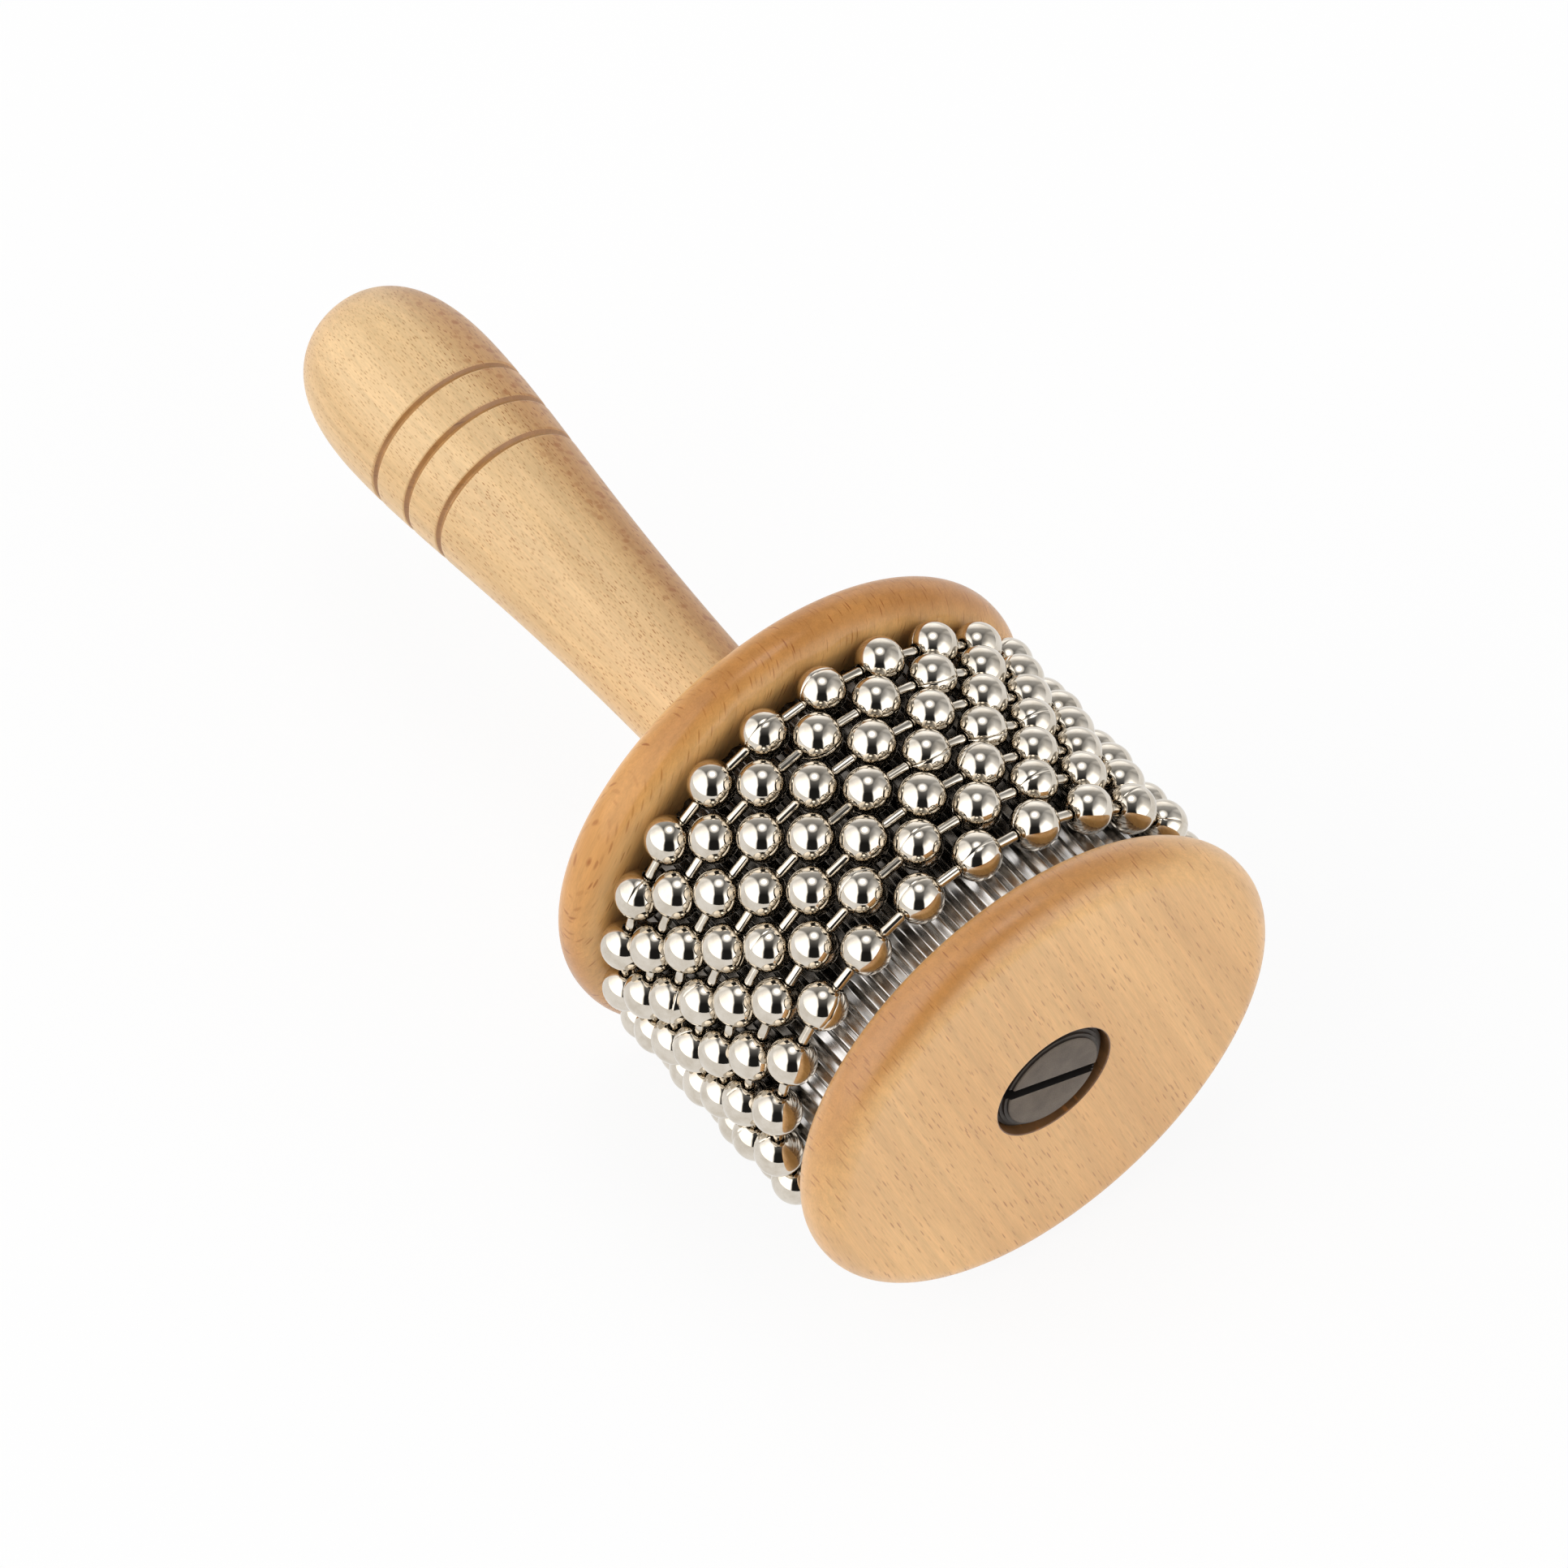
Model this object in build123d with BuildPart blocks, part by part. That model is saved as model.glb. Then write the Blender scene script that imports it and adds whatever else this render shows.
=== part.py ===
"""Cabasa: a drum with a ribbed metal sleeve and seven loops of ball chain round it, on a turned handle.

The instrument lies on the rims of its two discs. The drum's axis runs along +Y, from the front disc to the
handle, and the origin is on the ground under the middle of its length. Sizes are in millimetres.
"""

import os
from math import cos, pi, radians, sin, sqrt

from build123d import *

# Beads and links of the chain
bead_diameter = 6.35
bead_wall = 0.35
rod_diameter = 1.4
rod_hole_diameter = 1.8
link_head_diameter = 2.5
link_head_length = 0.7
link_head_round = 0.25
link_gap = 2.6
link_play = 0.15

# Rows of chain on the drum
chain_count = 7
nest_gap = 0.42
front_row_slack = 0.8
bare_strip = 3.85
running_clearance = 0.3
first_bead_angle = 14.8

# Drum
drum_diameter = 56.0
rib_count = 80
rib_height = 0.6
sheet_thickness = 0.4
fit_clearance = 0.1

# Discs
disc_thickness = 8.0
disc_edge_round = 3.8
disc_seam_angle = 20.0
rim_margin = 0.35

# Screw and threaded insert
head_diameter = 16.5
head_thickness = 5.1
head_recess = 0.1
head_clearance = 0.4
face_diameter = 13.8
face_chamfer = 0.15
step_count = 3
step_drop = 0.4
slot_width = 1.5
slot_depth = 1.8
slot_angle = 20.0
shank_diameter = 6.0
shank_clearance = 0.25
shank_end_chamfer = 0.6
insert_wall = 2.0
insert_length = 16.0
insert_recess = 0.3
insert_chamfer = 0.5
thread_clearance = 0.05
thread_engagement = 14.0
bore_end_gap = 1.0

# Handle
handle_length = 91.5
foot_diameter = 16.5
foot_chamfer = 0.5
swell_diameter = 24.28
swell_to_end = 17.8
foot_pull = 41.8
swell_pull = 15.4
end_fullness = 0.71
end_bluntness = 0.64
groove_count = 3
groove_width = 1.1
groove_pitch = 6.15
groove_from_swell = 5.9

# Sizes that follow
bead_radius = bead_diameter / 2
drum_radius = drum_diameter / 2
ring_radius = drum_radius + running_clearance + bead_radius
bead_count = round(2 * pi * ring_radius / (bead_diameter + link_gap))
bead_pitch = 2 * ring_radius * sin(pi / bead_count)
nest_offset = 2 * ring_radius * sin(pi / (2 * bead_count))
nest_distance = bead_diameter + nest_gap
row_spacing = max(sqrt(nest_distance**2 - nest_offset**2), nest_distance / 2)
chains_width = (chain_count - 1) * row_spacing + front_row_slack + bead_diameter
drum_length = bare_strip + chains_width + running_clearance
disc_radius = ring_radius + bead_radius + rim_margin
core_radius = drum_radius - rib_height - sheet_thickness - fit_clearance
rear_disc_at = disc_thickness + drum_length
foot_at = rear_disc_at + disc_thickness
overall_length = foot_at + handle_length
shank_radius = shank_diameter / 2
shank_hole_radius = shank_radius + shank_clearance
head_hole_radius = head_diameter / 2 + head_clearance
head_bottom = head_recess + head_thickness
shank_end = foot_at + thread_engagement
insert_bore_radius = shank_radius + thread_clearance
insert_radius = insert_bore_radius + insert_wall
insert_hole_radius = insert_radius + fit_clearance
insert_hole_depth = insert_recess + insert_length + bore_end_gap

# Profiles are drawn from the axis downwards and from the front face towards the handle
front_at = (0, -overall_length / 2, disc_radius)
profile_plane = Plane(origin=front_at, x_dir=(0, 0, -1), z_dir=(1, 0, 0))
drum_axis = Axis(front_at, (0, 1, 0))


def cross_plane(distance, turn=0):
    """The plane across the drum at a distance behind the front face, with x downwards but for a turn."""
    origin = (0, distance - overall_length / 2, disc_radius)
    x_dir = (-sin(radians(turn)), 0, -cos(radians(turn)))
    return Plane(origin=origin, x_dir=x_dir, z_dir=(0, 1, 0))


def disc_plane(distance):
    """The cross plane of a disc, turned so that the rim's seam is clear of the line that it rests on."""
    return cross_plane(distance, disc_seam_angle)


def finish(piece, name):
    """Name a finished piece and write it."""
    piece.label = name
    export_step(piece, f"parts/{name}.step")


def polar_point(radius, angle):
    """The point at a radius and an angle in degrees round the middle of a cross plane."""
    return (radius * cos(radians(angle)), radius * sin(radians(angle)))


def ribbed_outline(crest_radius):
    """Close a ring of arcs that swell out and in by turns, one pair for each rib."""
    middle_radius = crest_radius - rib_height / 2
    step = 180 / rib_count
    for half_rib in range(2 * rib_count):
        swell = rib_height / 2 if half_rib % 2 == 0 else -rib_height / 2
        start = polar_point(middle_radius, half_rib * step)
        peak = polar_point(middle_radius + swell, (half_rib + 0.5) * step)
        end = polar_point(middle_radius, (half_rib + 1) * step)
        ThreePointArc(start, peak, end)


os.makedirs("parts", exist_ok=True)

# Front disc, with the sunk seat of the screw head
with BuildPart() as front_disc:
    with BuildSketch(disc_plane(0)):
        Circle(disc_radius)
    extrude(amount=disc_thickness)
    fillet(front_disc.edges(), radius=disc_edge_round)
    with BuildSketch(disc_plane(0)):
        Circle(head_hole_radius)
    extrude(amount=head_bottom, mode=Mode.SUBTRACT)
    with BuildSketch(disc_plane(0)):
        Circle(shank_hole_radius)
    extrude(amount=disc_thickness, mode=Mode.SUBTRACT)
finish(front_disc.part, "front_disc")

# Rear disc, with a plain hole for the shank
with BuildPart() as rear_disc:
    with BuildSketch(disc_plane(rear_disc_at)):
        Circle(disc_radius)
    extrude(amount=disc_thickness)
    fillet(rear_disc.edges(), radius=disc_edge_round)
    with BuildSketch(disc_plane(rear_disc_at)):
        Circle(shank_hole_radius)
    extrude(amount=disc_thickness, mode=Mode.SUBTRACT)
finish(rear_disc.part, "rear_disc")

# Core of the drum, clamped between the discs
with BuildPart() as drum_core:
    with BuildSketch(cross_plane(disc_thickness)):
        Circle(core_radius)
        Circle(shank_hole_radius, mode=Mode.SUBTRACT)
    extrude(amount=drum_length)
finish(drum_core.part, "drum_core")

# Ribbed sleeve of thin sheet round the core
with BuildPart() as ribbed_sleeve:
    with BuildSketch(cross_plane(disc_thickness + fit_clearance)):
        with BuildLine():
            ribbed_outline(drum_radius)
        make_face()
        with BuildLine():
            ribbed_outline(drum_radius - sheet_thickness)
        make_face(mode=Mode.SUBTRACT)
    extrude(amount=drum_length - 2 * fit_clearance)
finish(ribbed_sleeve.part, "ribbed_sleeve")

# Clamp screw: a head that steps down round a flat face, with a coin slot, and a plain shank
face_radius = face_diameter / 2
step_width = (head_diameter / 2 - face_radius) / step_count
with BuildPart() as clamp_screw:
    with BuildSketch(cross_plane(head_recess)):
        Circle(face_radius)
    extrude(amount=head_thickness)
    chamfer(clamp_screw.edges().sort_by(Axis.Y)[0], length=face_chamfer)
    for step in range(1, step_count + 1):
        with BuildSketch(cross_plane(head_recess + step * step_drop)):
            Circle(face_radius + step * step_width)
        extrude(amount=head_thickness - step * step_drop)
    with BuildSketch(cross_plane(head_bottom)):
        Circle(shank_radius)
    extrude(amount=shank_end - head_bottom)
    chamfer(clamp_screw.edges().sort_by(Axis.Y)[-1], length=shank_end_chamfer)
    with BuildSketch(cross_plane(head_recess)):
        Rectangle(slot_width, 2 * head_diameter, rotation=slot_angle)
    extrude(amount=slot_depth, mode=Mode.SUBTRACT)
finish(clamp_screw.part, "clamp_screw")

# Threaded insert, sunk in the foot of the handle
with BuildPart() as threaded_insert:
    with BuildSketch(cross_plane(foot_at + insert_recess)):
        Circle(insert_radius)
        Circle(insert_bore_radius, mode=Mode.SUBTRACT)
    extrude(amount=insert_length)
    rims = threaded_insert.edges().filter_by(GeomType.CIRCLE).sort_by(SortBy.RADIUS)[-2:]
    chamfer(rims, length=insert_chamfer)
finish(threaded_insert.part, "threaded_insert")

# Handle: slender at the foot, swelled towards the end, with V-grooves before the swell
swell_at = overall_length - swell_to_end
foot_radius = foot_diameter / 2
swell_radius = swell_diameter / 2
with BuildPart() as handle:
    with BuildSketch(profile_plane):
        with BuildLine():
            grip = Bezier(
                (foot_radius, foot_at),
                (foot_radius, foot_at + foot_pull),
                (swell_radius, swell_at - swell_pull),
                (swell_radius, swell_at),
            )
            Bezier(
                (swell_radius, swell_at),
                (swell_radius, swell_at + end_fullness * swell_to_end),
                (end_bluntness * swell_radius, overall_length),
                (0, overall_length),
            )
            Polyline((0, overall_length), (0, foot_at), (foot_radius, foot_at))
        make_face()
        for groove in range(groove_count):
            along = grip.length - groove_from_swell - groove * groove_pitch
            with Locations(grip.position_at(along, position_mode=PositionMode.LENGTH)):
                Rectangle(groove_width / sqrt(2), groove_width / sqrt(2), rotation=45, mode=Mode.SUBTRACT)
    revolve(axis=drum_axis)
    chamfer(handle.edges().sort_by(Axis.Y)[0], length=foot_chamfer)
    with BuildSketch(cross_plane(foot_at)):
        Circle(insert_hole_radius)
    extrude(amount=insert_hole_depth, mode=Mode.SUBTRACT)
finish(handle.part, "handle")

# One bead: a hollow ball with two holes, each facing the next bead of its loop
bead_inner_radius = bead_radius - bead_wall
hole_angle = 90 + 180 / bead_count
with BuildPart() as bead:
    Sphere(bead_radius)
    for angle in (radians(hole_angle), radians(-hole_angle)):
        with BuildSketch(Plane(origin=(0, 0, 0), z_dir=(cos(angle), sin(angle), 0))):
            Circle(rod_hole_diameter / 2)
        extrude(amount=bead_diameter, mode=Mode.SUBTRACT)
    Sphere(bead_inner_radius, mode=Mode.SUBTRACT)

# One link: a rod with a head at each end, held inside the two beads that it joins
shoulder_depth = sqrt(bead_inner_radius**2 - (link_head_diameter / 2) ** 2) - link_play
link_half_length = bead_pitch / 2 - shoulder_depth + link_head_length
rod_half_length = link_half_length - link_head_length
with BuildPart() as link:
    with BuildSketch(Plane.XZ):
        Circle(rod_diameter / 2)
    extrude(amount=rod_half_length, both=True)
    for side in (1, -1):
        with BuildSketch(Plane.XZ.offset(side * rod_half_length)):
            Circle(link_head_diameter / 2)
        extrude(amount=side * link_head_length)
    head_edges = link.edges().filter_by(GeomType.CIRCLE).group_by(SortBy.RADIUS)[-1]
    fillet(head_edges, radius=link_head_round)

# Seven loops, each turned half a pitch against the last so that the beads nest
last_row_at = rear_disc_at - running_clearance - bead_radius
half_step = 180 / bead_count
link_ring_radius = ring_radius * cos(pi / bead_count)
for row in range(chain_count):
    slack = front_row_slack if row == chain_count - 1 else 0
    row_at = last_row_at - row * row_spacing - slack
    bead_angle = first_bead_angle + (row % 2) * half_step
    with BuildPart(cross_plane(row_at)) as chain_beads:
        with PolarLocations(ring_radius, bead_count, start_angle=bead_angle):
            add(bead.part)
    finish(chain_beads.part, f"chain_{row + 1}_beads")
    with BuildPart(cross_plane(row_at)) as chain_links:
        with PolarLocations(link_ring_radius, bead_count, start_angle=bead_angle + half_step):
            add(link.part)
    finish(chain_links.part, f"chain_{row + 1}_links")
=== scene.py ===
"""Looks of the cabasa: turned beech, a ribbed bright sleeve, polished ball chain and a dark slotted screw.

Sizes are in millimetres from the middle of the front disc's face, with the drum's axis along +Y. Meshes are
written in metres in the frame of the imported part.
"""

import math
import random

import bmesh
import bpy
from mathutils import Matrix, Vector


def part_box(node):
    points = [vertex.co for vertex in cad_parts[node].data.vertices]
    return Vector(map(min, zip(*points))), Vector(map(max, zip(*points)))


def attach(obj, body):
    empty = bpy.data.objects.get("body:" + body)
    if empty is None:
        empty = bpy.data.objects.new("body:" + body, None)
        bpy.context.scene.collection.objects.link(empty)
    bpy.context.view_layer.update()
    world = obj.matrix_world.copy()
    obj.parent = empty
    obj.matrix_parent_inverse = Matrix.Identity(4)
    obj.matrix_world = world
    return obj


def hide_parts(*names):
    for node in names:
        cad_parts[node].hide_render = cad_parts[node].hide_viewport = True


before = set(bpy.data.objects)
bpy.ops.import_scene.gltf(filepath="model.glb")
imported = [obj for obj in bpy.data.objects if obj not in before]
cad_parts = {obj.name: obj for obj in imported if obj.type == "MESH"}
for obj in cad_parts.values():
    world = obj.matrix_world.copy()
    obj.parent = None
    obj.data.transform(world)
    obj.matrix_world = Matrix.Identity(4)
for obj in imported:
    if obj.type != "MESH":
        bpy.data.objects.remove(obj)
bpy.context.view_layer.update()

MM = 0.001

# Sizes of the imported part
OVERALL = 149.197
DISC_RADIUS = 35.0
DISC_THICKNESS = 8.0
DISC_EDGE_ROUND = 3.8
DRUM_LENGTH = 41.697
DRUM_RADIUS = 28.0
RIB_COUNT = 80
RIB_HEIGHT = 0.6
SHEET_THICKNESS = 0.4
FIT_CLEARANCE = 0.1
HEAD_RADIUS = 8.25
HEAD_RECESS = 0.1
HEAD_BOTTOM = 5.2
HEAD_HOLE_RADIUS = 8.65
FACE_RADIUS = 6.9
FACE_CHAMFER = 0.15
STEP_COUNT = 3
STEP_DROP = 0.4
SLOT_WIDTH = 1.5
SLOT_DEPTH = 1.8
SLOT_ANGLE = math.radians(20)
SHANK_RADIUS = 3.0
SHANK_HOLE_RADIUS = 3.25
SHANK_END_CHAMFER = 0.6
THREAD_ENGAGEMENT = 14.0
INSERT_HOLE_RADIUS = 5.15
INSERT_HOLE_DEPTH = 17.3
FOOT_AT = 2 * DISC_THICKNESS + DRUM_LENGTH
FOOT_RADIUS = 8.25
FOOT_CHAMFER = 0.5
SWELL_RADIUS = 12.14
SWELL_AT = OVERALL - 17.8
FOOT_PULL = 41.8
SWELL_PULL = 15.4
END_FULLNESS = 0.71
END_BLUNTNESS = 0.64
GROOVE_COUNT = 3
GROOVE_HALF_WIDTH = 0.55
GROOVE_PITCH = 6.15
GROOVE_FROM_SWELL = 5.9
BEAD_RADIUS = 3.175
BEAD_WALL = 0.35
BEAD_HOLE_RADIUS = 0.9
BEAD_COUNT = 22
RING_RADIUS = 31.475
CHAIN_COUNT = 7
ROD_RADIUS = 0.7
LINK_HEAD_RADIUS = 1.25
LINK_HEAD_LENGTH = 0.7
LINK_HEAD_ROUND = 0.25
LINK_PLAY = 0.15
FIRST_BEAD_ANGLE = math.radians(14.8)

# Fine forms that only the looks have
PLEAT = 0.96
HOLE_LIP = 0.16
GROOVE_EXTRA = 0.06
GROOVE_FLOOR_ROUND = 0.08
GROOVE_LIP_ROUND = 0.05
BURNT_DEPTH = 0.12
SCREW_EDGE_ROUND = 0.07
SEAM_HALF_ANGLE = 0.035
SEAM_DEPTH = 0.055
BEAD_FLAT_FROM_HOLE = 0.05
BEAD_LIP = ((0.07, 0.006), (0.02, 0.022))

# Mesh rows and segments
ON_AXIS = 1e-6
DISC_SEGMENTS = 192
DISC_RIM_STEPS = 18
DISC_INNER_RINGS = (12, 24)
FACE_RINGS = (9.2, 12, 16, 20, 24, 28, 30)
HOLE_WALL_RING_AT = 2.0
HOLE_LIP_STEPS = 5
HANDLE_SEGMENTS = 160
GRIP_STEPS = 900
GRIP_ROW = 1.0
GROOVE_ROW = 0.075
GROOVE_ROWS_REACH = 1.1
HANDLE_END_STEPS = 48
COLUMNS_PER_RIB = 24
SCREW_SEGMENTS = 128
BEAD_COLUMNS = 40
BEAD_ROWS = 26
BEAD_INNER_ROWS = 10
LINK_SEGMENTS = 20
NEAR = 0.01

HALF_STEP = math.pi / BEAD_COUNT
ORIGIN = Vector((0, -OVERALL / 2, DISC_RADIUS))
AXIAL = Vector((0, 1, 0))


def row_distance(row):
    """Distance of a row of chain from the front disc's face, as packed."""
    low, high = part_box(f"chain_{row}_beads")
    return (low.y + high.y) / 2 / MM - ORIGIN.y


# Meshes

def make_object(name, points, faces, materials, sharp_angle=30, face_materials=None):
    """A mesh object from points in millimetres, smooth but for edges sharper than an angle."""
    mesh = bpy.data.meshes.new(name)
    mesh.from_pydata([(ORIGIN + Vector(p)) * MM for p in points], [], faces)
    for material in materials:
        mesh.materials.append(material)
    if face_materials:
        mesh.polygons.foreach_set("material_index", face_materials)
    mesh.polygons.foreach_set("use_smooth", [True] * len(mesh.polygons))
    mesh.set_sharp_from_angle(angle=math.radians(sharp_angle))
    obj = bpy.data.objects.new(name, mesh)
    bpy.context.scene.collection.objects.link(obj)
    return obj


def place(obj, body, node):
    """Fasten a piece to its body, in place of its CAD node."""
    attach(obj, body)
    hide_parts(node)


def spin(profile, segments, closed=False):
    """Points and faces of a profile of (radius, distance) turned round the drum's axis."""
    points, rings = [], []
    for radius, distance in profile:
        if radius < ON_AXIS:
            rings.append([len(points)])
            points.append((0, distance, 0))
            continue
        rings.append(list(range(len(points), len(points) + segments)))
        for step in range(segments):
            angle = 2 * math.pi * step / segments
            points.append((radius * math.sin(angle), distance, radius * math.cos(angle)))
    faces = []
    pairs = list(zip(rings, rings[1:])) + ([(rings[-1], rings[0])] if closed else [])
    for near, far in pairs:
        for step in range(segments):
            after = (step + 1) % segments
            if len(near) == 1:
                faces.append((near[0], far[after], far[step]))
            elif len(far) == 1:
                faces.append((near[step], near[after], far[0]))
            else:
                faces.append((near[step], near[after], far[after], far[step]))
    return points, faces


def arc(centre, radius, start, end, steps):
    """Profile points on an arc; angles in degrees, from outwards (0) towards the handle (90)."""
    found = []
    for step in range(steps + 1):
        angle = math.radians(start + (end - start) * step / steps)
        found.append((centre[0] + radius * math.cos(angle), centre[1] + radius * math.sin(angle)))
    return found


def bezier(a, b, c, d, steps):
    """Profile points on a cubic curve."""
    found = []
    for step in range(steps + 1):
        t = step / steps
        weights = ((1 - t) ** 3, 3 * t * (1 - t) ** 2, 3 * t * t * (1 - t), t ** 3)
        found.append(tuple(sum(w * p[k] for w, p in zip(weights, (a, b, c, d))) for k in (0, 1)))
    return found


def disc_rim(at):
    """The outer half of a disc's profile, from its front face round the rim to its rear face."""
    inner = DISC_RADIUS - DISC_EDGE_ROUND
    front = arc((inner, at + DISC_EDGE_ROUND), DISC_EDGE_ROUND, -90, 0, DISC_RIM_STEPS)
    rear = arc((inner, at + DISC_THICKNESS - DISC_EDGE_ROUND), DISC_EDGE_ROUND, 0, 90, DISC_RIM_STEPS)
    return front + rear


def disc_flat(at):
    """The plain side of a disc, from the shank's hole outwards."""
    return [(radius, at) for radius in (SHANK_HOLE_RADIUS, *DISC_INNER_RINGS)]


def make_front_disc(face_wood, wall_wood):
    """The front disc, with the counterbore of the screw head and its softened edge."""
    wall = [(SHANK_HOLE_RADIUS, HEAD_BOTTOM), (HEAD_HOLE_RADIUS, HEAD_BOTTOM),
            (HEAD_HOLE_RADIUS, HOLE_WALL_RING_AT)]
    wall += arc((HEAD_HOLE_RADIUS + HOLE_LIP, HOLE_LIP), HOLE_LIP, 180, 270, HOLE_LIP_STEPS)
    face = [(radius, 0) for radius in FACE_RINGS]
    profile = wall + face + disc_rim(0) + disc_flat(DISC_THICKNESS)[::-1]
    points, faces = spin(profile, DISC_SEGMENTS, closed=True)
    in_wall = DISC_SEGMENTS * (len(wall) - 1)
    face_materials = [1] * in_wall + [0] * (len(faces) - in_wall)
    return make_object("front_disc_wood", points, faces, [face_wood, wall_wood], 35, face_materials)


def make_rear_disc(material):
    """The rear disc, with a plain hole for the shank."""
    at = DISC_THICKNESS + DRUM_LENGTH
    profile = disc_flat(at) + disc_rim(at) + disc_flat(FOOT_AT)[::-1]
    points, faces = spin(profile, DISC_SEGMENTS, closed=True)
    return make_object("rear_disc_wood", points, faces, [material], 35)


def groove_depth(away):
    """Depth of a turned V-groove at a distance from its middle, with a soft floor and soft lips."""
    depth = GROOVE_HALF_WIDTH + GROOVE_EXTRA - math.hypot(away, GROOVE_FLOOR_ROUND)
    return (depth + math.hypot(depth, GROOVE_LIP_ROUND)) / 2


def make_handle(grip_wood, groove_wood):
    """The turned handle, slender at the foot and swelled towards its end."""
    foot, swell = (FOOT_RADIUS, FOOT_AT), (SWELL_RADIUS, SWELL_AT)
    from_foot, to_swell = (FOOT_RADIUS, FOOT_AT + FOOT_PULL), (SWELL_RADIUS, SWELL_AT - SWELL_PULL)
    grip = bezier(foot, from_foot, to_swell, swell, GRIP_STEPS)
    lengths = [0.0]
    for a, b in zip(grip, grip[1:]):
        lengths.append(lengths[-1] + math.dist(a, b))
    middles = [lengths[-1] - GROOVE_FROM_SWELL - k * GROOVE_PITCH for k in range(GROOVE_COUNT)]
    profile = [(0, FOOT_AT + INSERT_HOLE_DEPTH), (INSERT_HOLE_RADIUS, FOOT_AT + INSERT_HOLE_DEPTH),
               (INSERT_HOLE_RADIUS, FOOT_AT), (FOOT_RADIUS - FOOT_CHAMFER, FOOT_AT),
               (FOOT_RADIUS, FOOT_AT + FOOT_CHAMFER)]
    groove_rows = set()
    last = FOOT_CHAMFER
    for (radius, distance), length in zip(grip, lengths):
        away = min(abs(length - middle) for middle in middles)
        spacing = GROOVE_ROW if away < GROOVE_ROWS_REACH else GRIP_ROW
        if length - last < spacing:
            continue
        last = length
        depth = groove_depth(away)
        if depth > BURNT_DEPTH:
            groove_rows.add(len(profile))
        profile.append((radius - depth, distance))
    past_swell = (SWELL_RADIUS, SWELL_AT + END_FULLNESS * (OVERALL - SWELL_AT))
    before_end, end = (END_BLUNTNESS * SWELL_RADIUS, OVERALL), (0, OVERALL)
    profile += bezier(swell, past_swell, before_end, end, HANDLE_END_STEPS)
    points, faces = spin(profile, HANDLE_SEGMENTS)
    face_materials = []
    for row in range(len(profile) - 1):
        in_groove = row in groove_rows and row + 1 in groove_rows
        face_materials += [1 if in_groove else 0] * HANDLE_SEGMENTS
    return make_object("handle_wood", points, faces, [grip_wood, groove_wood], 40, face_materials)


def make_sleeve(material):
    """The sleeve of thin sheet, with ribs that run the length of the drum."""
    columns = RIB_COUNT * COLUMNS_PER_RIB
    front = DISC_THICKNESS + FIT_CLEARANCE
    back = front + DRUM_LENGTH - 2 * FIT_CLEARANCE
    rows = [(0, front), (0, (front + back) / 2), (0, back), (SHEET_THICKNESS, back),
            (SHEET_THICKNESS, front)]
    points = []
    for inset, distance in rows:
        for column in range(columns):
            angle = 2 * math.pi * column / columns
            swell = RIB_HEIGHT / 2 * math.asin(PLEAT * math.sin(RIB_COUNT * angle)) / math.asin(PLEAT)
            radius = DRUM_RADIUS - RIB_HEIGHT / 2 + swell - inset
            points.append((radius * math.sin(angle), distance, radius * math.cos(angle)))
    faces = []
    for row in range(len(rows)):
        near, far = row * columns, (row + 1) % len(rows) * columns
        for column in range(columns):
            after = (column + 1) % columns
            faces.append((near + column, near + after, far + after, far + column))
    return make_object("ribbed_sleeve_metal", points, faces, [material], 60)


def screw_profile():
    """Half of the clamp screw: a flat face, steps down to the rim and a plain shank."""
    end = FOOT_AT + THREAD_ENGAGEMENT
    profile = [(0, HEAD_RECESS), (FACE_RADIUS - FACE_CHAMFER, HEAD_RECESS),
               (FACE_RADIUS, HEAD_RECESS + FACE_CHAMFER)]
    step_width = (HEAD_RADIUS - FACE_RADIUS) / STEP_COUNT
    for step in range(STEP_COUNT):
        depth = HEAD_RECESS + (step + 1) * STEP_DROP
        inner = FACE_RADIUS + step * step_width
        profile += [(inner, depth), (inner + step_width, depth)]
    profile += [(HEAD_RADIUS, HEAD_BOTTOM), (SHANK_RADIUS, HEAD_BOTTOM),
                (SHANK_RADIUS, end - SHANK_END_CHAMFER), (SHANK_RADIUS - SHANK_END_CHAMFER, end), (0, end)]
    return profile


def bake_modifiers(obj):
    """Put the result of an object's modifiers into its mesh."""
    depsgraph = bpy.context.evaluated_depsgraph_get()
    mesh = bpy.data.meshes.new_from_object(obj.evaluated_get(depsgraph))
    old = obj.data
    obj.modifiers.clear()
    obj.data = mesh
    bpy.data.meshes.remove(old)
    mesh.name = obj.name


def cut_slot(screw):
    """Cut the coin slot across the screw's head and round the sharp edges a little."""
    cutter_mesh = bpy.data.meshes.new("slot_cutter")
    shape = bmesh.new()
    bmesh.ops.create_cube(shape, size=1)
    size = Matrix.Diagonal((4 * HEAD_RADIUS * MM, 2 * (SLOT_DEPTH + HEAD_RECESS) * MM, SLOT_WIDTH * MM, 1))
    turn = Matrix.Rotation(SLOT_ANGLE, 4, "Y")
    shape.transform(Matrix.Translation(ORIGIN * MM) @ turn @ size)
    shape.to_mesh(cutter_mesh)
    shape.free()
    cutter = bpy.data.objects.new("slot_cutter", cutter_mesh)
    bpy.context.scene.collection.objects.link(cutter)
    cut = screw.modifiers.new("slot", "BOOLEAN")
    cut.operation, cut.solver, cut.object = "DIFFERENCE", "EXACT", cutter
    soften = screw.modifiers.new("edges", "BEVEL")
    soften.width, soften.segments, soften.limit_method = SCREW_EDGE_ROUND * MM, 2, "ANGLE"
    soften.angle_limit = math.radians(40)
    bake_modifiers(screw)
    bpy.data.objects.remove(cutter)


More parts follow.
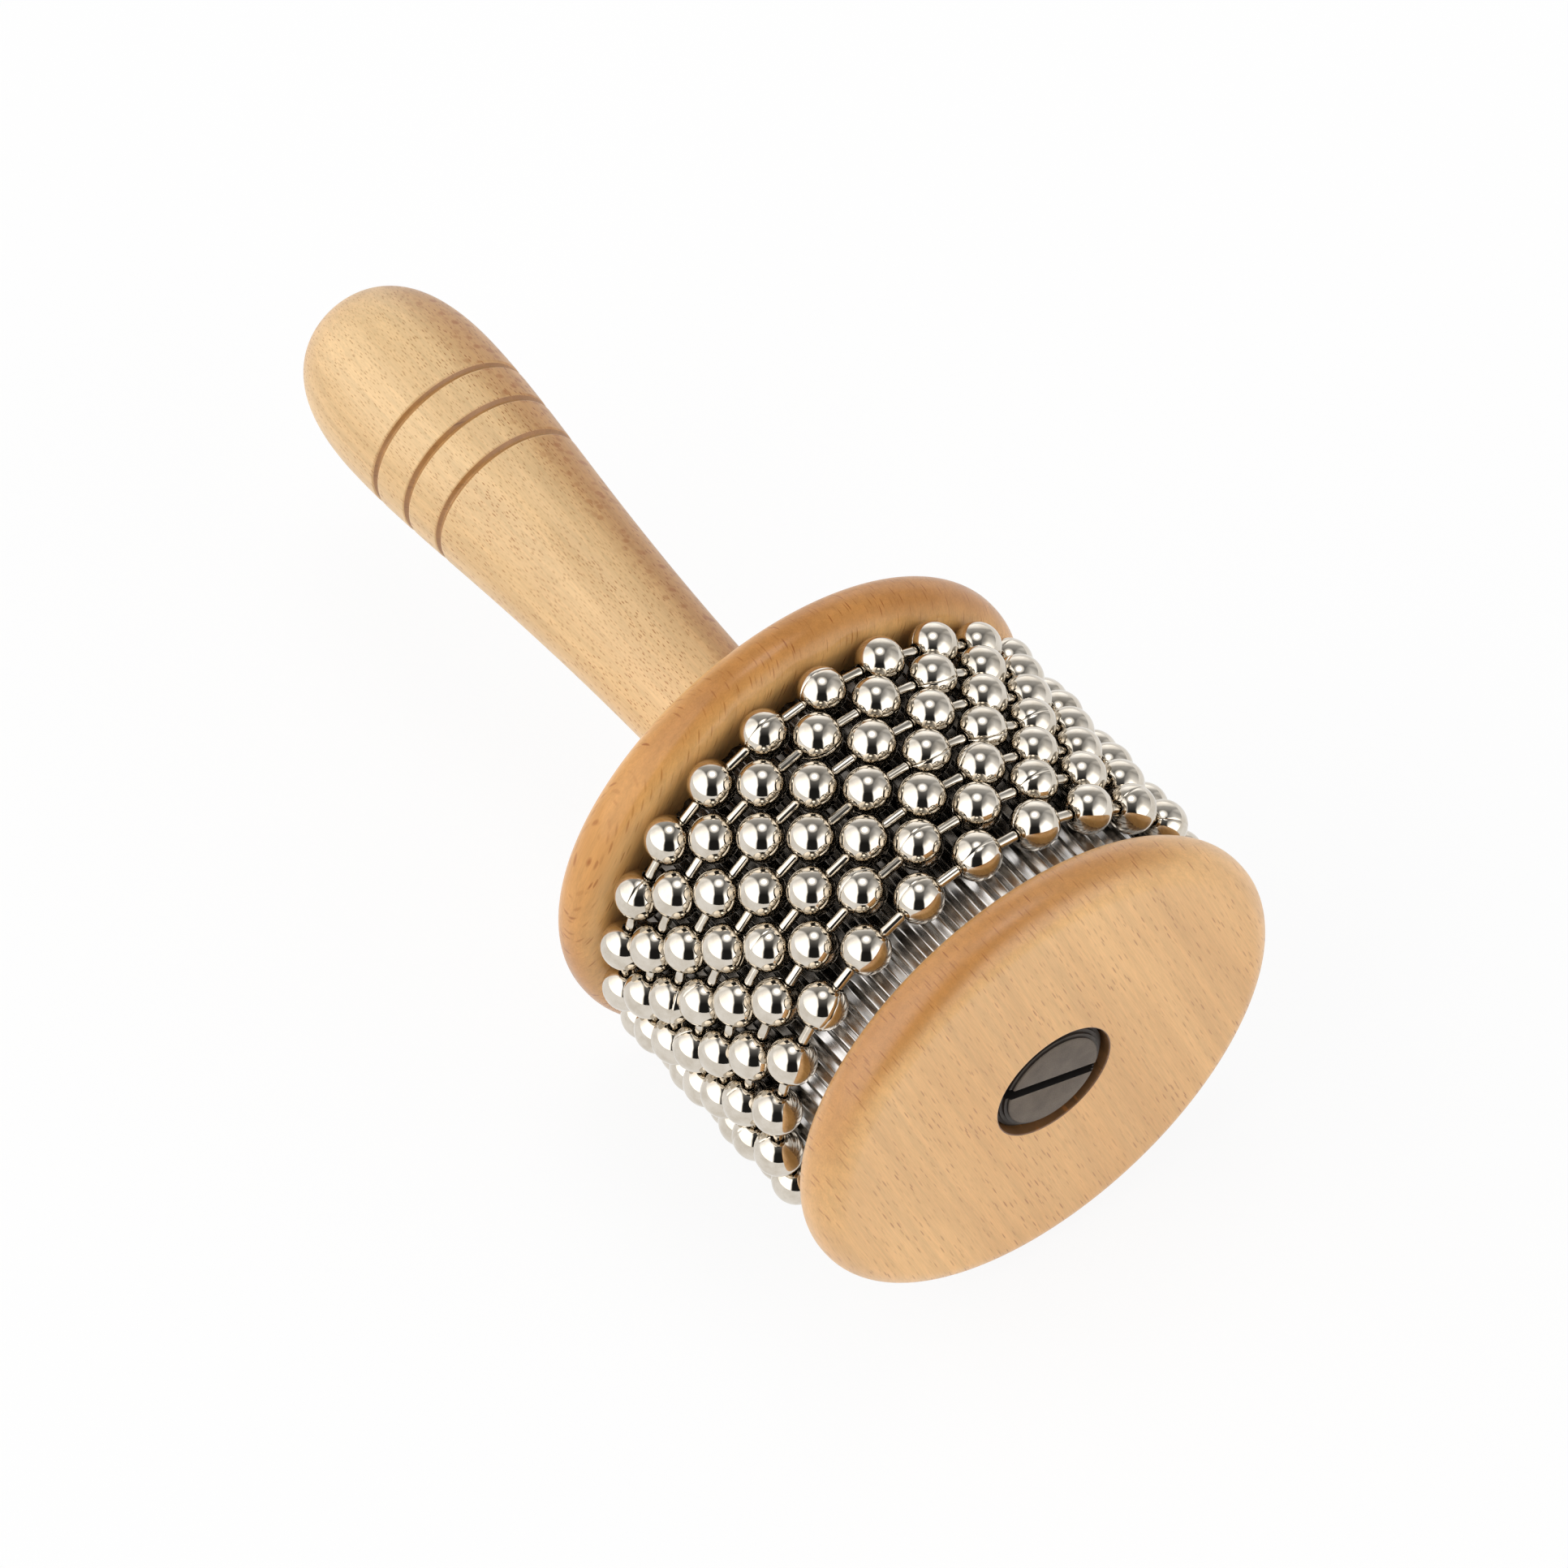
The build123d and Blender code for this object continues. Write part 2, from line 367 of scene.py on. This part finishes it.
def make_screw(face_metal, shaded_slot_metal, shaded_step_metal):
    """The clamp screw, with painted shade in its slot and on the steps round its face."""
    points, faces = spin(screw_profile(), SCREW_SEGMENTS)
    screw = make_object("clamp_screw_metal", points, faces, [face_metal, shaded_slot_metal, shaded_step_metal], 25)
    cut_slot(screw)
    along = Vector((math.cos(SLOT_ANGLE), 0, -math.sin(SLOT_ANGLE)))
    across = Vector((math.sin(SLOT_ANGLE), 0, math.cos(SLOT_ANGLE)))
    slot_top, slot_floor = HEAD_RECESS + SCREW_EDGE_ROUND - NEAR, HEAD_RECESS + SLOT_DEPTH + NEAR
    # The slot's faces and the steps round the face take the painted shade materials.
    for face in screw.data.polygons:
        centre = face.center / MM - ORIGIN
        between = abs(centre.dot(across)) < SLOT_WIDTH / 2 + NEAR and abs(centre.dot(along)) < HEAD_RADIUS
        if between and slot_top < centre.y < slot_floor:
            face.material_index = 1
        elif centre.y < HEAD_BOTTOM and math.hypot(centre.x, centre.z) > FACE_RADIUS - FACE_CHAMFER / 4:
            face.material_index = 2
    screw.data.set_sharp_from_angle(angle=math.radians(50))
    return screw


def bead_columns(seam):
    """Angles round a bead's hole-to-hole axis, with three close together at the seam, and each one's sink."""
    found = [(seam - SEAM_HALF_ANGLE, 0.0), (seam, SEAM_DEPTH), (seam + SEAM_HALF_ANGLE, 0.0)]
    for column in range(1, BEAD_COLUMNS):
        found.append((seam + 2 * math.pi * column / BEAD_COLUMNS, 0.0))
    found.sort()
    return found


def bead_profile():
    """A bead's closed wall as (radius from its centre, angle from the hole axis)."""
    rim = math.asin(BEAD_HOLE_RADIUS / BEAD_RADIUS)
    inner_radius = BEAD_RADIUS - BEAD_WALL
    inner_rim = math.asin(BEAD_HOLE_RADIUS / inner_radius)
    start = rim + BEAD_FLAT_FROM_HOLE
    outer = [(BEAD_RADIUS, start + (math.pi - 2 * start) * row / BEAD_ROWS) for row in range(BEAD_ROWS + 1)]
    near = [(inner_radius, inner_rim)] + [(BEAD_RADIUS - sink, rim + past) for sink, past in BEAD_LIP]
    far = [(radius, math.pi - angle) for radius, angle in reversed(near)]
    inner = [(inner_radius, math.pi - inner_rim - (math.pi - 2 * inner_rim) * row / BEAD_INNER_ROWS)
             for row in range(1, BEAD_INNER_ROWS)]
    return near + outer + far + inner


def ring_directions(angle):
    """The outward and the onward direction at an angle round the drum."""
    outward = Vector((math.sin(angle), 0, math.cos(angle)))
    onward = Vector((math.cos(angle), 0, -math.sin(angle)))
    return outward, onward


def make_beads(name, distance, first_angle, material, luck):
    """One loop of hollow beads, each with a seam and with its holes facing its neighbours."""
    profile = bead_profile()
    points, faces = [], []
    for bead in range(BEAD_COUNT):
        outward, onward = ring_directions(first_angle + 2 * HALF_STEP * bead)
        centre = outward * RING_RADIUS + AXIAL * distance
        columns = bead_columns(luck.uniform(0, 2 * math.pi))
        start, width = len(points), len(columns)
        for radius, polar in profile:
            for column, sink in columns:
                own = radius - (sink if radius > BEAD_RADIUS - NEAR else 0)
                along = own * math.cos(polar)
                out = own * math.sin(polar) * math.cos(column)
                side = own * math.sin(polar) * math.sin(column)
                bend = HALF_STEP * along / BEAD_RADIUS
                bent_along = along * math.cos(bend) + out * math.sin(bend)
                bent_out = out * math.cos(bend) - along * math.sin(bend)
                points.append(centre + onward * bent_along + outward * bent_out + AXIAL * side)
        for row in range(len(profile)):
            near, far = start + row * width, start + (row + 1) % len(profile) * width
            for column in range(width):
                after = (column + 1) % width
                faces.append((near + column, far + column, far + after, near + after))
    return make_object(name, points, faces, [material], 45)


def make_links(name, distance, first_angle, material):
    """The dumbbell links of one loop: a rod with a head inside each of two beads."""
    pitch = 2 * RING_RADIUS * math.sin(HALF_STEP)
    inner_radius = BEAD_RADIUS - BEAD_WALL
    shoulder = pitch / 2 - math.sqrt(inner_radius ** 2 - LINK_HEAD_RADIUS ** 2) + LINK_PLAY
    tip = shoulder + LINK_HEAD_LENGTH
    half = [(ROD_RADIUS, shoulder), (LINK_HEAD_RADIUS - LINK_HEAD_ROUND, shoulder),
            (LINK_HEAD_RADIUS, shoulder + LINK_HEAD_ROUND), (LINK_HEAD_RADIUS, tip - LINK_HEAD_ROUND),
            (LINK_HEAD_RADIUS - LINK_HEAD_ROUND, tip), (0, tip)]
    profile = [(radius, -along) for radius, along in reversed(half)] + half
    link_points, link_faces = spin(profile, LINK_SEGMENTS)
    points, faces = [], []
    for link in range(BEAD_COUNT):
        outward, onward = ring_directions(first_angle + HALF_STEP * (2 * link + 1))
        centre = outward * RING_RADIUS * math.cos(HALF_STEP) + AXIAL * distance
        start = len(points)
        for x, along, z in link_points:
            points.append(centre + onward * along + outward * z - AXIAL * x)
        faces += [tuple(start + k for k in face) for face in link_faces]
    return make_object(name, points, faces, [material], 40)


# Nodes

def new_material(name):
    """A material with one shader, and its node tree."""
    material = bpy.data.materials.new(name)
    material.use_nodes = True
    tree = material.node_tree
    shader = next(n for n in tree.nodes if n.type == "BSDF_PRINCIPLED")
    return material, tree, shader


def node(tree, kind, inputs=None, **settings):
    """Add a node, with values or links for its inputs."""
    made = tree.nodes.new("ShaderNode" + kind)
    for key, value in settings.items():
        setattr(made, key, value)
    for key, value in (inputs or {}).items():
        if isinstance(value, bpy.types.NodeSocket):
            tree.links.new(value, made.inputs[key])
        else:
            made.inputs[key].default_value = value
    return made


def ramp(tree, factor, *stops):
    """A colour ramp with stops of (position, colour)."""
    made = node(tree, "ValToRGB", {"Fac": factor})
    elements = made.color_ramp.elements
    while len(elements) < len(stops):
        elements.new(1.0)
    for element, (position, colour) in zip(elements, stops):
        element.position = position
        element.color = (*colour, 1) if isinstance(colour, tuple) else (colour, colour, colour, 1)
    return made.outputs["Color"]


def noise(tree, vector, scale, detail=2.0, rough=0.5):
    """Noise over coordinates stretched by a scale for each axis."""
    stretched = node(tree, "Mapping", {"Vector": vector, "Scale": scale}).outputs[0]
    settings = {"Vector": stretched, "Scale": 1.0, "Detail": detail, "Roughness": rough}
    return node(tree, "TexNoise", settings).outputs[0]


def mix(tree, kind, factor, a, b):
    """Mix two colours."""
    made = node(tree, "Mix", data_type="RGBA", blend_type=kind)
    for socket, value in zip((made.inputs[0], made.inputs[6], made.inputs[7]), (factor, a, b)):
        if isinstance(value, bpy.types.NodeSocket):
            tree.links.new(value, socket)
        else:
            socket.default_value = value if isinstance(value, float) else (*value, 1)
    return made.outputs[2]


def math_node(tree, operation, *values):
    """One sum on one to three values."""
    return node(tree, "Math", dict(enumerate(values)), operation=operation).outputs[0]


def toward(tree, way, direction):
    """How far one direction points along another, from -1 to 1."""
    return node(tree, "VectorMath", {0: way, 1: direction}, operation="DOT_PRODUCT").outputs["Value"]


def soft_step(tree, value, low, high):
    """A soft step from 0 at one value to 1 at another."""
    limits = {"Value": value, "From Min": low, "From Max": high}
    return node(tree, "MapRange", limits, interpolation_type="SMOOTHSTEP").outputs["Result"]


def millimetres(tree, axes=None, shift=(0, 0, 0)):
    """Coordinates on the piece in millimetres, turned to three axes if they are given."""
    turn = Matrix(axes).to_euler() if axes else (0, 0, 0)
    place_on = node(tree, "TexCoord").outputs["Object"]
    return node(tree, "Mapping", {"Vector": place_on, "Location": shift, "Rotation": turn,
                                  "Scale": (1 / MM, 1 / MM, 1 / MM)}).outputs[0]


def bump(tree, shader, height, strength, depth):
    """Relief of a depth in millimetres."""
    made = node(tree, "Bump", {"Height": height, "Strength": strength, "Distance": depth * MM})
    tree.links.new(made.outputs[0], shader.inputs["Normal"])


# Materials

PALE = (0.87, 0.505, 0.19)
DEEP = (0.74, 0.40, 0.135)
RAY = (0.42, 0.16, 0.04)
END_GRAIN = (0.68, 0.54, 0.39)
DISC_RAY_SPACING, DISC_RAY_SIZE = (2.0, 0.80, 2.7), (1.9, 0.22, 2.5)
CUT_RAY_SPACING, CUT_RAY_SIZE = (4.0, 0.6, 2.0), (3.0, 0.2, 1.4)
TUFT_SPACING, TUFT_SIZE = (2.4, 1.1, 1.7), (2.6, 1.0, 1.1)


def rays(tree, grain, spacing, size):
    """Short spindle marks of a wood's rays: how strongly one shows at each point."""
    cells = node(tree, "Mapping", {"Vector": grain, "Scale": tuple(1 / s for s in spacing)}).outputs[0]
    found = node(tree, "TexVoronoi", {"Vector": cells, "Scale": 1.0})
    offset = node(tree, "VectorMath", {0: cells, 1: found.outputs["Position"]}, operation="SUBTRACT")
    half_sizes = tuple(2 * s / w for s, w in zip(spacing, size))
    scaled = node(tree, "VectorMath", {0: offset.outputs[0], 1: half_sizes}, operation="MULTIPLY")
    away = node(tree, "VectorMath", {0: scaled.outputs[0]}, operation="LENGTH").outputs["Value"]
    mark = ramp(tree, away, (0.55, 1.0), (1.0, 0.0))
    luck = ramp(tree, found.outputs["Color"], (0.2, 0.3), (0.7, 1.0))
    return mix(tree, "MULTIPLY", 1.0, mark, luck)


def wood(name, along, radial, pale, deep, ray, ray_spacing, ray_size, shift, end=END_GRAIN, shade_side=None,
         coat=0.3, coat_roughness=0.28, specular=0.55, tufts=0.0):
    """Clear-lacquered beech: soft growth bands, fine fibres, ray flecks along the grain and darker end grain.

    The quarter colour is painted shade that darkens the one side facing across the grain and the radius.
    Tufts is how strongly wide ray flecks show there.
    """
    material, tree, shader = new_material(name)
    along = Vector(along).normalized()
    radial = (Vector(radial) - along * along.dot(Vector(radial))).normalized()
    crosswise = along.cross(radial)
    grain = millimetres(tree, (radial, crosswise, along), shift)
    bands = noise(tree, grain, (0.16, 0.09, 0.010), 3.0, 0.55)
    streaks = noise(tree, grain, (0.9, 0.9, 0.018), 3.0, 0.6)
    fibres = noise(tree, grain, (5.0, 5.0, 0.22), 3.0, 0.65)
    flecks = rays(tree, grain, ray_spacing, ray_size)
    patches = ramp(tree, noise(tree, grain, (0.12, 0.15, 0.05)), (0.38, 0.55), (0.62, 1.0))
    flecks = mix(tree, "MULTIPLY", 1.0, flecks, patches)
    colour = ramp(tree, bands, (0.32, deep), (0.68, pale))
    colour = mix(tree, "MULTIPLY", 0.55, colour, ramp(tree, streaks, (0.35, 0.76), (0.65, 1.0)))
    colour = mix(tree, "MULTIPLY", 0.45, colour, ramp(tree, fibres, (0.3, 0.72), (0.62, 1.0)))
    colour = mix(tree, "MIX", math_node(tree, "MULTIPLY", flecks, 0.95), colour, ray)
    outward = node(tree, "TexCoord").outputs["Normal"]
    endwise = math_node(tree, "ABSOLUTE", toward(tree, outward, along))
    colour = mix(tree, "MULTIPLY", soft_step(tree, endwise, 0.2, 0.95), colour, end)
    if shade_side:
        # Painted shade: the quarter colour darkens one side of the piece; the wide ray flecks shown there are
        # real figure.
        figure_and_shade_side = soft_step(tree, toward(tree, outward, crosswise), 0.45, 0.95)
        colour = mix(tree, "MULTIPLY", figure_and_shade_side, colour, shade_side)
        if tufts:
            shown = math_node(tree, "MULTIPLY", rays(tree, grain, TUFT_SPACING, TUFT_SIZE), figure_and_shade_side)
            colour = mix(tree, "MIX", math_node(tree, "MULTIPLY", shown, tufts), colour, ray)
    tree.links.new(colour, shader.inputs["Base Color"])
    tree.links.new(ramp(tree, fibres, (0.3, 0.46), (0.7, 0.36)), shader.inputs["Roughness"])
    shader.inputs["Coat Weight"].default_value = coat
    shader.inputs["Coat Roughness"].default_value = coat_roughness
    shader.inputs["Specular IOR Level"].default_value = specular
    bump(tree, shader, fibres, 0.35, 0.02)
    return material


def metal(name, light, dark, gloss, grain_scale, scratch_scale, scratch_depth):
    """Bright metal with faint stains, an uneven polish and fine scratches."""
    material, tree, shader = new_material(name)
    spot = millimetres(tree)
    stains = noise(tree, spot, grain_scale, 4.0, 0.6)
    scratches = noise(tree, spot, scratch_scale, 3.0, 0.6)
    tree.links.new(ramp(tree, stains, (0.35, dark), (0.6, light)), shader.inputs["Base Color"])
    tree.links.new(ramp(tree, scratches, (0.35, gloss[0]), (0.7, gloss[1])), shader.inputs["Roughness"])
    shader.inputs["Metallic"].default_value = 1.0
    bump(tree, shader, scratches, 0.1, scratch_depth)
    return material


def sheet_shaded_below_chains(name, unshaded, unshaded_dark, shaded, shaded_dark):
    """Satin sheet that is bright in front of the chains and darkened below them by painted shade."""
    material, tree, shader = new_material(name)
    spot = millimetres(tree)
    stains = noise(tree, spot, (0.25, 0.08, 0.25), 4.0, 0.6)
    brushed = noise(tree, spot, (4.0, 0.15, 4.0), 3.0, 0.6)
    distance = node(tree, "SeparateXYZ", {0: spot}).outputs["Y"]
    # Painted shade: from the chain rows back, the sheet takes the much darker colours, where the beads shade
    # it.
    shade_from = ORIGIN.y + row_distance(CHAIN_COUNT)
    shade_below = soft_step(tree, math_node(tree, "SUBTRACT", distance, stains), shade_from - 1.0, shade_from + 1.0)
    bright = ramp(tree, stains, (0.35, unshaded_dark), (0.6, unshaded))
    below = ramp(tree, stains, (0.35, shaded_dark), (0.6, shaded))
    tree.links.new(mix(tree, "MIX", shade_below, bright, below), shader.inputs["Base Color"])
    tree.links.new(ramp(tree, brushed, (0.35, 0.20), (0.7, 0.28)), shader.inputs["Roughness"])
    shader.inputs["Metallic"].default_value = 1.0
    return material


def dark_metal(name, light, dark):
    """Matt oxide on a screw: fine pits and rubbed patches. Made much darker, it also gives the painted shade
    in the slot and on the steps.
    """
    material, tree, shader = new_material(name)
    spot = millimetres(tree)
    rubbed = noise(tree, spot, (0.35, 0.35, 0.35), 4.0, 0.6)
    pits = noise(tree, spot, (6.0, 6.0, 6.0), 3.0, 0.7)
    colour = ramp(tree, rubbed, (0.35, dark), (0.65, light))
    colour = mix(tree, "MULTIPLY", 0.5, colour, ramp(tree, pits, (0.3, 0.6), (0.6, 1.0)))
    tree.links.new(colour, shader.inputs["Base Color"])
    tree.links.new(ramp(tree, pits, (0.3, 0.62), (0.7, 0.48)), shader.inputs["Roughness"])
    shader.inputs["Metallic"].default_value = 0.35
    bump(tree, shader, pits, 0.3, 0.02)
    return material


disc_wood = wood("beech_disc", (0.35, 0, -0.94), (0, 1, 0), PALE, DEEP, RAY, DISC_RAY_SPACING, DISC_RAY_SIZE,
                 (3, 8, 1))
# The rear disc's wood is a little deeper in colour than the front disc's, partly as painted shade; its
# quarter colour is painted shade on one side.
rear_wood = wood("beech_rear_disc", (0.43, 0, 0.90), (0, 1, 0), (0.85, 0.48, 0.175), (0.72, 0.385, 0.13), RAY,
                 DISC_RAY_SPACING, DISC_RAY_SIZE, (41, 17, 23), shade_side=(0.84, 0.74, 0.62),
                 coat=0.4, coat_roughness=0.15, specular=0.15)
# Painted shade: the handle's quarter colour darkens the side that faces crosswise.
handle_wood = wood("beech_handle", (0, 1, 0), (-0.4, 0, 0.9), (0.86, 0.595, 0.31), (0.73, 0.475, 0.225),
                   (0.36, 0.13, 0.03), (1.8, 0.36, 0.82), (2.2, 0.15, 0.68), (11, 5, 7),
                   end=(0.86, 0.78, 0.70), shade_side=(0.72, 0.55, 0.38), coat=0.25, specular=0.25, tufts=0.9)
core_wood = wood("beech_core", (0, 1, 0), (1, 0, 0), (0.60, 0.40, 0.20), (0.50, 0.31, 0.14), RAY,
                 (5.0, 0.7, 2.5), (4.0, 0.2, 1.8), (2, 4, 6))
hole_wood = wood("beech_hole", (0, 1, 0), (1, 0, 0), (0.28, 0.13, 0.045), (0.20, 0.09, 0.03), RAY,
                 CUT_RAY_SPACING, CUT_RAY_SIZE, (9, 2, 5))
groove_wood = wood("beech_turned_edge", (0, 1, 0), (1, 0, 0), (0.60, 0.33, 0.12), (0.50, 0.26, 0.085),
                   (0.22, 0.09, 0.03), CUT_RAY_SPACING, CUT_RAY_SIZE, (9, 2, 5))
nickel = metal("polished_nickel", (0.69, 0.635, 0.555), (0.58, 0.52, 0.435), (0.045, 0.075), (0.5, 0.5, 0.5),
               (3.0, 9.0, 3.0), 0.002)
# The sheet's last two colours are painted shade below the chains.
sleeve_metal = sheet_shaded_below_chains("bright_sheet", (0.62, 0.60, 0.585), (0.48, 0.465, 0.45), (0.125, 0.115, 0.104),
                            (0.072, 0.065, 0.058))
brass = metal("turned_brass", (0.76, 0.56, 0.27), (0.64, 0.45, 0.19), (0.18, 0.32), (0.6, 0.6, 0.6),
              (2.0, 12.0, 2.0), 0.02)
screw_metal = dark_metal("dark_oxide", (0.150, 0.116, 0.086), (0.105, 0.080, 0.059))
# The next two are painted shade: near-black in the slot and dark brown on the steps.
shaded_slot_metal = dark_metal("painted_shade_slot", (0.014, 0.011, 0.009), (0.008, 0.006, 0.005))
shaded_step_metal = dark_metal("painted_shade_steps", (0.060, 0.046, 0.035), (0.034, 0.026, 0.020))


# Pieces

root = "drum_and_handle"
place(make_front_disc(disc_wood, hole_wood), root, "front_disc")
place(make_rear_disc(rear_wood), root, "rear_disc")
place(make_handle(handle_wood, groove_wood), root, "handle")
place(make_sleeve(sleeve_metal), root, "ribbed_sleeve")
place(make_screw(screw_metal, shaded_slot_metal, shaded_step_metal), root, "clamp_screw")

luck = random.Random(7)
for row in range(1, CHAIN_COUNT + 1):
    distance = row_distance(row)
    first_angle = FIRST_BEAD_ANGLE + (0 if row % 2 else HALF_STEP)
    beads = make_beads(f"chain_{row}_beads_metal", distance, first_angle, nickel, luck)
    links = make_links(f"chain_{row}_links_metal", distance, first_angle, nickel)
    place(beads, f"chain_{row}", f"chain_{row}_beads")
    place(links, f"chain_{row}", f"chain_{row}_links")

for name, material in (("drum_core", core_wood), ("threaded_insert", brass)):
    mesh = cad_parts[name].data
    mesh.materials.clear()
    mesh.materials.append(material)


# Camera

CAMERA_LENS = 317.83
CAMERA_SENSOR = 36
CAMERA_AT = Vector((-615.56, -760.31, 1393.63))
CAMERA_AIM = Vector((-7.79, 44.77, 19.56))

scene = bpy.context.scene
camera_data = bpy.data.cameras.new("camera")
camera_data.sensor_width = CAMERA_SENSOR
camera_data.lens = CAMERA_LENS
camera = bpy.data.objects.new("camera", camera_data)
camera.location = (ORIGIN + CAMERA_AT) * MM
aim = (ORIGIN + CAMERA_AIM) * MM
camera.rotation_euler = (aim - camera.location).to_track_quat("-Z", "Y").to_euler()
scene.collection.objects.link(camera)
scene.camera = camera


# Light and floor, with lengths in metres

LAMP_TILT = math.radians(11)
LAMP_DISTANCE = 1.2
LAMP_SIZE = 0.46
LAMP_POWER = 1.3
HALO_EDGE, HALO_CORE = math.radians(24), math.radians(10)
HALO_LEVEL = 0.55
PANEL_SOFTNESS = 0.16
RIGHT_TOP = (0.16, 0.16, 0.16)
RIGHT_TOP_FROM, RIGHT_TOP_TO = 0.55, 0.90
STUDIO_LEVEL = (2.1, 2.1, 2.1)
WHITE = (1.0, 1.0, 1.0)
FLOOR_REACH = 30.0
FLOOR_DROP = 0.0002
FLOOR_WHITE_SHARE = 0.9

up = Vector((0, 0, 1))
to_camera = Vector((camera.location.x - aim.x, camera.location.y - aim.y, 0)).normalized()
to_left = to_camera.cross(up)
overhead = up * math.cos(LAMP_TILT) - to_camera * math.sin(LAMP_TILT)


def make_lamp():
    """A soft round lamp overhead that isn't seen itself."""
    data = bpy.data.lights.new("overhead_lamp", "AREA")
    data.shape = "DISK"
    data.size = LAMP_SIZE
    data.energy = LAMP_POWER
    lamp = bpy.data.objects.new("overhead_lamp", data)
    lamp.location = aim + overhead * LAMP_DISTANCE
    lamp.rotation_euler = (-overhead).to_track_quat("-Z", "Y").to_euler()
    lamp.visible_camera = False
    scene.collection.objects.link(lamp)


def make_studio():
    """Bright panels to the left and right, a darker gap between them and a halo round the lamp.

    Most levels follow how far a direction faces the camera's side of the room, from 0 behind the object to 1.
    """
    world = bpy.data.worlds.new("studio")
    scene.world = world
    world.use_nodes = True
    tree = world.node_tree
    way = node(tree, "TexCoord").outputs["Generated"]
    sideways = toward(tree, way, to_left)
    other_way = math_node(tree, "MULTIPLY", sideways, -1.0)
    facing = math_node(tree, "MULTIPLY_ADD", toward(tree, way, to_camera), 0.5, 0.5)
    edge = ramp(tree, facing, (0.10, 0.62), (0.25, 0.46), (0.50, 0.31), (0.80, 0.27), (0.90, 0.33))
    left = soft_step(tree, math_node(tree, "SUBTRACT", sideways, edge), 0.0, PANEL_SOFTNESS)
    right = soft_step(tree, math_node(tree, "SUBTRACT", other_way, edge), 0.0, PANEL_SOFTNESS)
    gap = ramp(tree, facing, (0.0, 0.80), (0.10, 0.24), (0.30, 0.10), (0.60, 0.08), (0.76, 0.03),
               (0.86, 0.008))
    left_panel = ramp(tree, facing, (0.08, 0.70), (0.25, 0.48), (0.50, 0.95), (0.62, 1.05))
    right_low = ramp(tree, facing, (0.08, 0.50), (0.25, 0.20), (0.50, 0.50), (0.62, 1.05))
    high = soft_step(tree, toward(tree, way, up), RIGHT_TOP_FROM, RIGHT_TOP_TO)
    right_panel = mix(tree, "MIX", high, right_low, RIGHT_TOP)
    studio = mix(tree, "MIX", left, gap, left_panel)
    studio = mix(tree, "MIX", right, studio, right_panel)
    halo = soft_step(tree, toward(tree, way, overhead), math.cos(HALO_EDGE), math.cos(HALO_CORE))
    studio = mix(tree, "ADD", math_node(tree, "MULTIPLY", halo, HALO_LEVEL), studio, WHITE)
    studio = mix(tree, "MULTIPLY", 1.0, studio, STUDIO_LEVEL)
    seen = node(tree, "LightPath").outputs["Is Camera Ray"]
    tree.links.new(mix(tree, "MIX", seen, studio, WHITE), tree.nodes["Background"].inputs["Color"])


def make_floor():
    """A wide pale floor that is nearly white where it is seen, and keeps the object's shadow."""
    corners = [(x * FLOOR_REACH, y * FLOOR_REACH, 0) for x, y in ((-1, -1), (1, -1), (1, 1), (-1, 1))]
    mesh = bpy.data.meshes.new("floor")
    mesh.from_pydata(corners, [], [(0, 1, 2, 3)])
    floor = bpy.data.objects.new("floor", mesh)
    floor.location.z = -FLOOR_DROP
    scene.collection.objects.link(floor)
    material, tree, shader = new_material("pale_floor")
    shader.inputs["Base Color"].default_value = (0.92, 0.92, 0.92, 1)
    shader.inputs["Roughness"].default_value = 0.9
    white = node(tree, "Emission", {"Color": (*WHITE, 1), "Strength": 1.0})
    path = node(tree, "LightPath").outputs
    looked_at = math_node(tree, "MAXIMUM", path["Is Camera Ray"], path["Is Glossy Ray"])
    looked_at = math_node(tree, "MAXIMUM", looked_at, path["Is Transmission Ray"])
    share = math_node(tree, "MULTIPLY", looked_at, FLOOR_WHITE_SHARE)
    blended = node(tree, "MixShader", {0: share, 1: shader.outputs[0], 2: white.outputs[0]})
    output = next(n for n in tree.nodes if n.type == "OUTPUT_MATERIAL")
    tree.links.new(blended.outputs[0], output.inputs["Surface"])
    mesh.materials.append(material)


make_lamp()
make_studio()
make_floor()

scene.view_settings.view_transform = "Standard"
